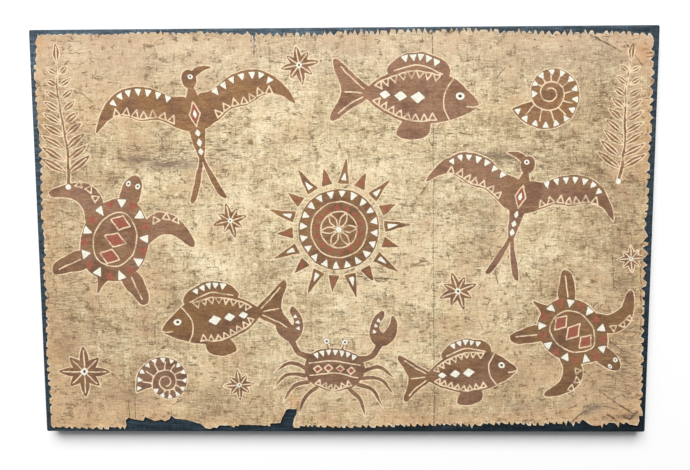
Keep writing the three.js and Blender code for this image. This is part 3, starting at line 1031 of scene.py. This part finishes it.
def cover_profile():
    """The cloth's section over the edge to the hem, outside and then inside, as insets and heights."""
    arc = [(EDGE_ROUND * (1 - math.sin(a)), EDGE_ROUND * (1 - math.cos(a))) for a in QUARTER]
    outer = [(inset, TOP_OF_COVER - drop) for inset, drop in arc]
    outer += [(0.0, z) for z in SIDE_HEIGHTS]
    outer += [(inset, z) for z, inset in arc]
    outer += [(inset, 0.0) for inset in HEM_INSETS + (HEM_WIDTH - 0.4,)]
    inner = [(HEM_WIDTH, 0.5), (HEM_WIDTH - 0.3, COVER_THICK), (20.0, COVER_THICK), (4.0, COVER_THICK)]
    inner += [(1.3, 1.3), (COVER_THICK, 3.0), (COVER_THICK, TOP_OF_COVER - 3.0), (1.3, TOP_OF_COVER - 1.3)]
    inner += [(EDGE_ROUND, TOP_OF_COVER - COVER_THICK)]
    return outer, inner


def cover_rings():
    """The loops of the cover's section, a little uneven down its sides and thicker at the hem's corners."""
    outer, inner = cover_profile()
    rings = []
    for inset, z in outer + inner:
        ring, corner = cover_ring(inset, z)
        if (inset, z) in outer and inset < EDGE_ROUND and 2 < z < TOP_OF_COVER - 1:
            pull = np.maximum(value_noise(ring[:, 0], ring[:, 1], 26, 41), 0)
            ring[:, :2] *= 1 - SIDE_PULL * pull[:, None] / (WIDTH / 2)
        if z == 0.0 and inset > 5:
            ring[:, 2] += HEM_FOLD * corner
        rings.append(ring)
    return rings


def cover_wrinkles(x, y):
    """Shallow wrinkles of the pulled cloth, strongest where the bark cloth is torn away."""
    bare = np.exp(-(((x + 250) / 95) ** 2) - ((y + 288) / 16) ** 2)
    ripple = 0.5 + 0.5 * np.sin(y / 1.25 + 1.4 * value_noise(x, y, 34, 31))
    patches = 0.5 + 0.5 * value_noise(x, y, 18, 32)
    return 0.2 * bare * ripple * patches - 0.05 + 0.05 * value_noise(x, y, 12, 33)


def cap_points(step, face):
    """Even places inside a loop of the cover. The face has them only in its border, which shows."""
    gx, gy = np.meshgrid(*(np.arange(-size / 2 + step, size / 2, step) for size in (WIDTH, HEIGHT)))
    chosen = (inward(gx, gy) > CAP_SPARE) & ((inward(gx, gy) < FACE_BORDER) | (not face))
    return np.c_[gx[chosen], gy[chosen]]


def cover_cloth():
    """The dark cloth as one closed sheet: face, sides and a hem that is turned under and mitred."""
    rings = cover_rings()
    count = len(rings[0])
    places = [np.vstack(rings)]
    faces = []
    for start in range(0, (len(rings) - 1) * count, count):
        for k in range(count):
            a, b = start + k, start + (k + 1) % count
            faces.append((b, a, a + count, b + count))
    total = len(rings) * count
    for index, step, face in ((0, FACE_STEP, True), (len(rings) - 1, BACK_STEP, False)):
        ring = rings[index]
        flat, cells, source = triangulated(ring[:, :2], cap_points(step, face))
        new = (source < 0) | (source >= count)
        number = np.where(new, total + np.cumsum(new) - 1, index * count + source).tolist()
        z = ring[0, 2] + cover_wrinkles(*flat.T) * face
        faces += [tuple(number[k] for k in (cell if face else cell[::-1])) for cell in cells]
        places.append(np.c_[flat, z][new])
        total += int(new.sum())
    return made_mesh("cover_sheet", np.vstack(places), faces, 35)


# Materials


def srgb(red, green, blue):
    """A colour as a screen shows it, from 0 to 255, turned into linear light."""
    parts = [c / 255 for c in (red, green, blue)]
    return tuple(c / 12.92 if c <= 0.04045 else ((c + 0.055) / 1.055) ** 2.4 for c in parts) + (1.0,)


class Graph:
    """Short ways to build the nodes of a material or a world. Inputs are sockets, numbers or colours."""

    def __init__(self, data):
        data.use_nodes = True
        self.data = data
        self.tree = data.node_tree

    def join(self, value, target):
        if isinstance(value, bpy.types.NodeSocket):
            self.tree.links.new(value, target)
        else:
            target.default_value = value

    def node(self, kind, result, inputs=(), **settings):
        """A new node's result, once its settings and its inputs, by order or by name, are filled in."""
        node = self.tree.nodes.new("ShaderNode" + kind)
        for name, value in settings.items():
            setattr(node, name, value)
        for key, value in inputs.items() if isinstance(inputs, dict) else enumerate(inputs):
            self.join(value, node.inputs[key])
        return node.outputs[result]

    def finish(self, last, **inputs):
        """Fills in the inputs of the node that is joined to the output from the start."""
        for name, value in inputs.items():
            self.join(value, self.tree.nodes[last].inputs[name.replace("_", " ")])
        return self.data

    def place(self, across=1.0, up=1.0, cell=1.0):
        """The piece's own coordinates in cells of some millimetres, stretched across or up."""
        scale = (across / cell / MM, up / cell / MM, 1 / cell / MM)
        return self.node("VectorMath", 0, (self.node("TexCoord", "Object"), scale), operation="MULTIPLY")

    def axis(self, name):
        return self.node("SeparateXYZ", name, [self.place()])

    def values(self, name):
        return self.node("Attribute", "Fac", attribute_name=name)

    def noise(self, cell, detail=3, roughness=0.55, across=1, up=1, distortion=0.0):
        """Noise whose hills are about one cell wide, in millimetres."""
        inputs = {"Vector": self.place(across, up, cell), "Scale": 1.0, "Detail": detail}
        inputs |= {"Roughness": roughness, "Distortion": distortion}
        return self.node("TexNoise", "Fac", inputs)

    def math(self, operation, *values):
        return self.node("Math", 0, values, operation=operation)

    def times(self, first, *others):
        for other in others:
            first = self.math("MULTIPLY", first, other)
        return first

    def add_part(self, total, value, share, middle=0.0):
        """A total and a share of a value, which is counted from its middle."""
        offset = self.math("SUBTRACT", value, middle) if middle else value
        return self.math("MULTIPLY_ADD", offset, share, total)

    def ramp(self, value, low, high, start=0.0, end=1.0):
        """A smooth step from start at low to end at high."""
        inputs = (value, low, high, start, end)
        return self.node("MapRange", "Result", inputs, interpolation_type="SMOOTHSTEP")

    def stops(self, value, *colours):
        """A colour read from evenly spaced colours, by a value from 0 to 1."""
        result = self.node("ValToRGB", "Color", [value])
        elements = result.node.color_ramp.elements
        elements[0].color, elements[1].color = srgb(*colours[0]), srgb(*colours[-1])
        for i, colour in enumerate(colours[1:-1], 1):
            elements.new(i / (len(colours) - 1)).color = srgb(*colour)
        return result

    def blend(self, share, a, b):
        return self.node("Mix", "Result", {"Factor": share, "A": a, "B": b}, data_type="RGBA")

    def tint(self, colour, rgb, *shares):
        """Another colour laid over a colour by the product of the shares."""
        return self.blend(self.times(*shares), colour, srgb(*rgb))

    def shade(self, colour, amount):
        """A colour made lighter or darker by a factor round 1."""
        plain = colour if isinstance(colour, bpy.types.NodeSocket) else colour[:3]
        return self.node("VectorMath", 0, {0: plain, "Scale": amount}, operation="SCALE")

    def bump(self, height, distance, strength=1.0, below=None):
        inputs = {"Height": height, "Distance": distance * MM, "Strength": strength}
        return self.node("Bump", "Normal", inputs if below is None else inputs | {"Normal": below})


def new_graph(name):
    return Graph(bpy.data.materials.new(name))


def bark_grain(g):
    """Grit and fine crossing fibres of beaten bark, about one half."""
    upright = g.noise(1.6, 2, 0.6, up=0.13, distortion=0.3)
    level = g.noise(1.6, 2, 0.6, across=0.15, distortion=0.3)
    grit = g.noise(2.3, 4, 0.78, across=0.8, distortion=0.2)
    return g.add_part(g.add_part(g.times(upright, 0.17), level, 0.25), grit, 0.58)


def middle_share(g):
    """How far a place is from the middle, uneven, from about 0 to 2."""
    across = g.math("POWER", g.times(g.axis("X"), 1 / 440), 2.0)
    up = g.math("POWER", g.times(g.math("SUBTRACT", g.axis("Y"), 40), 1 / 330), 2.0)
    return g.add_part(g.math("ADD", across, up), g.noise(110, 3), 0.8)


def edge_share(g):
    """1 beside the cloth's edges, fading over some centimetres in patches."""
    side = g.math("SUBTRACT", g.math("ABSOLUTE", g.axis("X")), WIDTH / 2)
    end = g.math("SUBTRACT", g.math("ABSOLUTE", g.axis("Y")), HEIGHT / 2)
    return g.ramp(g.add_part(g.math("MAXIMUM", side, end), g.noise(34, 3, 0.6), 46), -16, 14)


def bark_tone(g, grain):
    """How pale a place is, from 0 to 1: paler in the middle as painted light that falls off towards the
    edges, and mottled at every scale.
    """
    # Painted light: the ramp of the distance from the middle makes the cloth paler in the middle and darker
    # towards its edges.
    total = g.add_part(g.ramp(middle_share(g), 0.3, 1.6, 0.68, 0.34), grain, GRAIN_WEIGHT, 0.5)
    for cell, detail, roughness, across, up, weight in BARK_LAYERS:
        total = g.add_part(total, g.noise(cell, detail, roughness, across, up), weight, 0.5)
    return total


def bark_colour(g, grain):
    """Unpainted bark cloth: cream to tan by its tone, with warm, grey and rusty patches, paler towards the
    top.
    """
    colour = g.stops(bark_tone(g, grain), (146, 118, 90), (201, 180, 141), (240, 225, 188))
    warm = g.add_part(g.noise(58, 3, 0.6, 0.8), middle_share(g), 0.17)
    colour = g.tint(colour, (208, 172, 134), g.ramp(warm, 0.59, 0.83), 0.5)
    colour = g.tint(colour, (164, 150, 128), g.ramp(g.noise(24, 4, 0.65, 0.4), 0.54, 0.7), 0.3)
    colour = g.tint(colour, (218, 174, 126), edge_share(g), 0.2)
    colour = g.tint(colour, (218, 198, 180), g.ramp(g.axis("Y"), 170, 290), 0.25)
    spots = g.ramp(g.noise(9, 3, 0.6), 0.36, 0.6, 0.3, 1.0)
    return g.tint(colour, (212, 152, 102), g.values("rust"), spots, 0.6)


def thin_lines(g, cell, across, up, width):
    """Wandering hair lines where a stretched noise passes through its middle value."""
    hills = g.noise(cell, 3, 0.6, across, up, distortion=0.6)
    return g.ramp(g.math("ABSOLUTE", g.math("SUBTRACT", hills, 0.5)), width * 0.4, width, 1.0, 0.0)


def bark_marks(g, colour):
    """Dark specks, fibre streaks, hair lines, scuffed places, stains and cracks over the bark."""
    scuffed = g.values("scuff")
    worn = g.add_part(scuffed, g.ramp(g.noise(48, 3, 0.6), 0.4, 0.62, 0.15, 1.0), 0.6)
    smears = g.ramp(g.noise(2.6, 4, 0.7, 0.22), 0.3, 0.5)
    colour = g.tint(colour, (110, 92, 84), g.values("stain"), smears, 0.85)
    colour = g.tint(colour, (116, 90, 62), g.ramp(g.noise(2.0, 2, 0.6), 0.6, 0.68), worn, 0.6)
    dashes = g.ramp(g.noise(1.9, 3, 0.65, 0.11, distortion=0.4), 0.56, 0.68)
    colour = g.tint(colour, (122, 98, 70), g.math("MINIMUM", g.times(dashes, worn), 1.0), 0.62)
    level = thin_lines(g, 15, 0.28, 1, 0.021)
    upright = thin_lines(g, 16, 1, 0.3, 0.019)
    broken = g.ramp(g.add_part(g.noise(12, 4, 0.7), worn, 0.1), 0.52, 0.6)
    lines = g.times(g.math("MAXIMUM", level, g.times(upright, 0.7)), broken)
    colour = g.tint(colour, (108, 84, 58), lines, 0.75)
    rubbed = g.ramp(g.noise(2.2, 4, 0.75, 0.14), 0.46, 0.58)
    colour = g.tint(colour, (126, 104, 82), scuffed, rubbed, 0.9)
    crack = g.ramp(g.values("paint_crack"), -0.1, 0.7, 1.0, 0.0)
    gaps = g.ramp(g.noise(6, 3, 0.7), 0.35, 0.55, 0.25, 1.0)
    return g.tint(colour, (84, 64, 44), crack, gaps, 0.8), g.math("MAXIMUM", lines, crack)


def paint_edge(g, name, reach, low, high):
    """A painted layer's share: 1 inside, 0 outside, along a slightly rough edge."""
    return g.ramp(g.add_part(g.values("paint_" + name), g.noise(3.0, 2), reach, 0.5), low, high, 1.0, 0.0)


def brown_paint(g, grain):
    """Brown between purple and orange, with deep, pale and streaky places, darker towards the bottom."""
    hue = g.add_part(g.values("tone"), g.noise(42, 3, 0.6), 2.4, 0.5)
    brown = g.blend(g.ramp(hue, -0.5, 0.5), srgb(150, 114, 91), srgb(144, 107, 71))
    brown = g.tint(brown, (112, 80, 64), g.ramp(g.noise(30, 4, 0.65, 0.7), 0.46, 0.64), 0.65)
    brown = g.tint(brown, (172, 134, 98), g.ramp(g.noise(10, 3, 0.6, 0.4), 0.54, 0.7), 0.35)
    brown = g.tint(brown, (112, 78, 58), g.ramp(g.noise(3.6, 3, 0.65, 0.16), 0.54, 0.7), 0.3)
    brown = g.shade(brown, g.ramp(grain, 0.34, 0.66, 0.78, 1.24))
    brown = g.shade(brown, g.ramp(g.noise(2.1, 2, 0.7, 0.2), 0.3, 0.7, 0.86, 1.14))
    return g.shade(brown, g.ramp(g.axis("Y"), -150, 170, 0.82, 1.02))


def painted(g, colour, grain):
    """Brown, cream, red, white and dark paint, in the order in which they were laid."""
    whole = g.ramp(g.noise(2.4, 3, 0.7), 0.62, 0.78, 1.0, 0.5)
    share = g.times(paint_edge(g, "brown", 0.9, -0.25, 0.25), whole)
    colour = g.blend(share, colour, brown_paint(g, grain))
    red = g.shade(srgb(158, 92, 74), g.ramp(grain, 0.36, 0.64, 0.78, 1.2))
    colour = g.blend(g.times(paint_edge(g, "red", 0.7, -0.2, 0.3), 0.92), colour, red)
    rim = g.add_part(g.math("ABSOLUTE", g.values("paint_brown")), g.noise(7.0, 2), 1.2, 0.5)
    lines = g.math("MAXIMUM", g.ramp(rim, 0.45, 1.05, 1.0, 0.0), paint_edge(g, "stroke", 0.8, -0.15, 0.4))
    thin = g.ramp(g.noise(16, 4, 0.7), 0.34, 0.54, 0.35, 0.95)
    cream = g.shade(srgb(240, 216, 180), g.ramp(grain, 0.36, 0.64, 0.88, 1.08))
    colour = g.blend(g.times(lines, thin), colour, cream)
    colour = g.tint(colour, (118, 108, 88), g.ramp(g.values("paint_white"), 0.3, 1.4, 1.0, 0.0), 0.5)
    white = g.shade(srgb(244, 240, 224), g.ramp(g.noise(3.4, 3, 0.7), 0.34, 0.66, 0.84, 1.02))
    colour = g.blend(paint_edge(g, "white", 0.6, -0.2, 0.3), colour, white)
    return g.tint(colour, (96, 72, 58), paint_edge(g, "dark", 0.3, -0.1, 0.4))


def bark_material():
    g = new_graph("bark_paint")
    grain = bark_grain(g)
    colour, lines = bark_marks(g, bark_colour(g, grain))
    frayed = g.times(g.ramp(g.values("rim"), 0.25, 0.8), g.ramp(g.noise(13, 4, 0.7), 0.42, 0.62))
    colour = g.tint(painted(g, colour, grain), (222, 212, 192), frayed, 0.8)
    beaten = g.bump(g.noise(7, 4, 0.6, 0.7), 1.2, 0.6)
    threads = g.bump(grain, 0.7, 0.9, beaten)
    groove = g.bump(g.math("SUBTRACT", 1.0, lines), 0.25, 0.7, threads)
    return g.finish(
        SHADER, Base_Color=colour, Roughness=g.ramp(grain, 0.3, 0.7, 0.92, 0.78), Normal=groove,
        Specular_IOR_Level=0.2, Sheen_Weight=0.06,
    )


def cover_material():
    """Dark blue-green plain weave with uneven threads and pale lint, with painted light: paler towards the
    top and left, where the light comes from, and darker towards the bottom right.
    """
    g = new_graph("cover_weave")
    streaks = g.noise(5, 3, 0.65, 0.12)
    weave = g.times(g.math("ADD", g.noise(0.9, 1, 0.5, 0.06), g.noise(0.9, 1, 0.5, 1, 0.06)), 0.5)
    # Painted light and shade: the cloth's colour runs from dark at the bottom right to pale at the top left,
    # as the light falls from the top.
    painted_light_top_left = g.add_part(g.add_part(g.axis("Y"), g.axis("X"), -0.3), g.noise(40, 3, 0.6), 90)
    shades = (13, 22, 27), (42, 53, 60), (52, 63, 71), (68, 81, 90)
    colour = g.stops(g.math("MULTIPLY_ADD", painted_light_top_left, 1 / 850, 0.47), *shades)
    colour = g.shade(colour, g.ramp(weave, 0.35, 0.65, 0.5, 1.6))
    colour = g.shade(colour, g.ramp(streaks, 0.35, 0.65, 0.6, 1.5))
    colour = g.tint(colour, (100, 112, 120), g.ramp(g.noise(2.4, 3, 0.7, 0.25), 0.68, 0.8), 0.35)
    relief = g.bump(streaks, 0.5, 0.5, g.bump(weave, 0.35, 0.7))
    return g.finish(
        SHADER, Base_Color=colour, Roughness=g.ramp(weave, 0.3, 0.7, 0.62, 0.46), Normal=relief,
        Specular_IOR_Level=0.25, Specular_Tint=(0.75, 0.88, 1.0, 1.0),
        Sheen_Weight=0.05, Sheen_Roughness=0.5, Sheen_Tint=srgb(150, 175, 195),
    )


def board_material():
    """Plain plywood: long grain with soft bands and fine pores."""
    g = new_graph("plywood")
    bands = g.noise(16, 3, 0.5, 0.05, distortion=0.6)
    colour = g.blend(g.ramp(bands, 0.35, 0.65), srgb(216, 186, 142), srgb(186, 150, 104))
    pores = g.ramp(g.noise(1.1, 2, 0.6, 0.06), 0.55, 0.75)
    colour = g.tint(colour, (142, 108, 72), pores, 0.5)
    rough = g.ramp(bands, 0.3, 0.7, 0.6, 0.75)
    return g.finish(SHADER, Base_Color=colour, Roughness=rough, Normal=g.bump(pores, 0.15, 0.5))


def floor_material():
    g = new_graph("pale_floor")
    return g.finish(SHADER, Base_Color=(0.93, 0.93, 0.93, 1.0), Roughness=1.0, Specular_IOR_Level=0.0)


# Stage


def make_light():
    """One soft light from above the picture's top edge."""
    data = bpy.data.lights.new("key", "AREA")
    data.shape = "RECTANGLE"
    data.size, data.size_y = LIGHT_SIZE
    data.energy = LIGHT_POWER
    lamp = add_object("key", data)
    lamp.location = LIGHT_PLACE
    lamp.rotation_euler = (-Vector(LIGHT_PLACE)).to_track_quat("-Z", "Y").to_euler()


def make_floor():
    mesh = bpy.data.meshes.new("floor")
    square = [(-1, -1), (1, -1), (1, 1), (-1, 1)]
    mesh.from_pydata([(x * FLOOR_HALF, y * FLOOR_HALF, 0) for x, y in square], [], [(0, 1, 2, 3)])
    mesh.materials.append(floor_material())
    add_object("floor", mesh)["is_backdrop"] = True


def make_world():
    """Dim all round, and white at and below the horizon, where it joins the floor."""
    g = Graph(bpy.data.worlds.new("studio"))
    height = g.node("SeparateXYZ", "Z", [g.node("TexCoord", "Generated")])
    strength = g.ramp(height, 0.02, 0.2, 1.0, 0.2)
    bpy.context.scene.world = g.finish("Background", Color=(1.0, 1.0, 1.0, 1.0), Strength=strength)


def make_camera():
    data = bpy.data.cameras.new("camera")
    data.lens = CAMERA_LENS
    data.clip_start = 0.01
    camera = add_object("camera", data)
    camera.location = CAMERA_PLACE
    camera.rotation_euler = [math.radians(a) for a in CAMERA_TURN]
    bpy.context.scene.camera = camera


def corners(box):
    return [list(corner) for corner in box]


def main():
    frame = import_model()
    cad_box = corners(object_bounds())
    bpy.context.scene.view_settings.view_transform = "Standard"
    make_camera()
    make_floor()
    make_world()
    make_light()

    bark = bark_cloth()
    bark.data.materials.append(bark_material())
    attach(bark, "root")
    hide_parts("tapa_cloth")

    cover = cover_cloth()
    cover.data.materials.append(cover_material())
    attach(cover, "root")
    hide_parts("cover_cloth")

    board = frame["nodes"]["board"]
    board.data.materials.clear()
    board.data.materials.append(board_material())

    {"cad": cad_box, "visual": corners(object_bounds())}


main()
